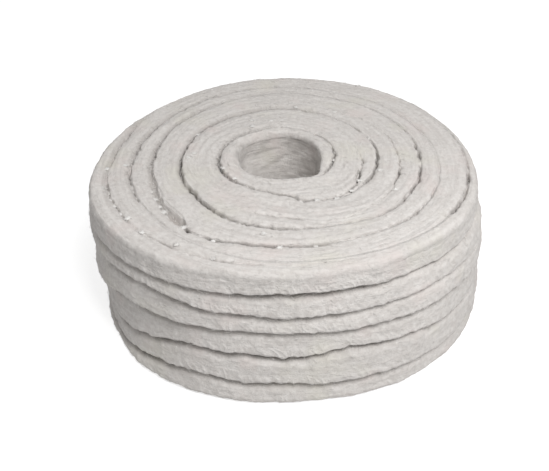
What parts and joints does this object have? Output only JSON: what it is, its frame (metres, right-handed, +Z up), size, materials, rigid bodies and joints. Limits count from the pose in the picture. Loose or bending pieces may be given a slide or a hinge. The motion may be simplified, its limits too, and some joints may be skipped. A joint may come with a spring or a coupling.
{
  "type": "roll of gland packing rope",
  "caption": "Roll of square braided fibre rope wound flat in layers round an open middle, cut to length to seal pump and valve glands.",
  "frame": {"origin": "under the middle of the roll, on the surface that it stands on", "axes": "+Z up through the roll, -Y towards the side the picture shows, +X to the picture's right"},
  "size_m": [0.1702, 0.1694, 0.06],
  "materials": {
    "packing_fibre": "dry off-white braided mineral fibre, felted and powdery"
  },
  "bodies": {
    "root": {"packing_roll": "packing_fibre"}
  },
  "joints": []
}
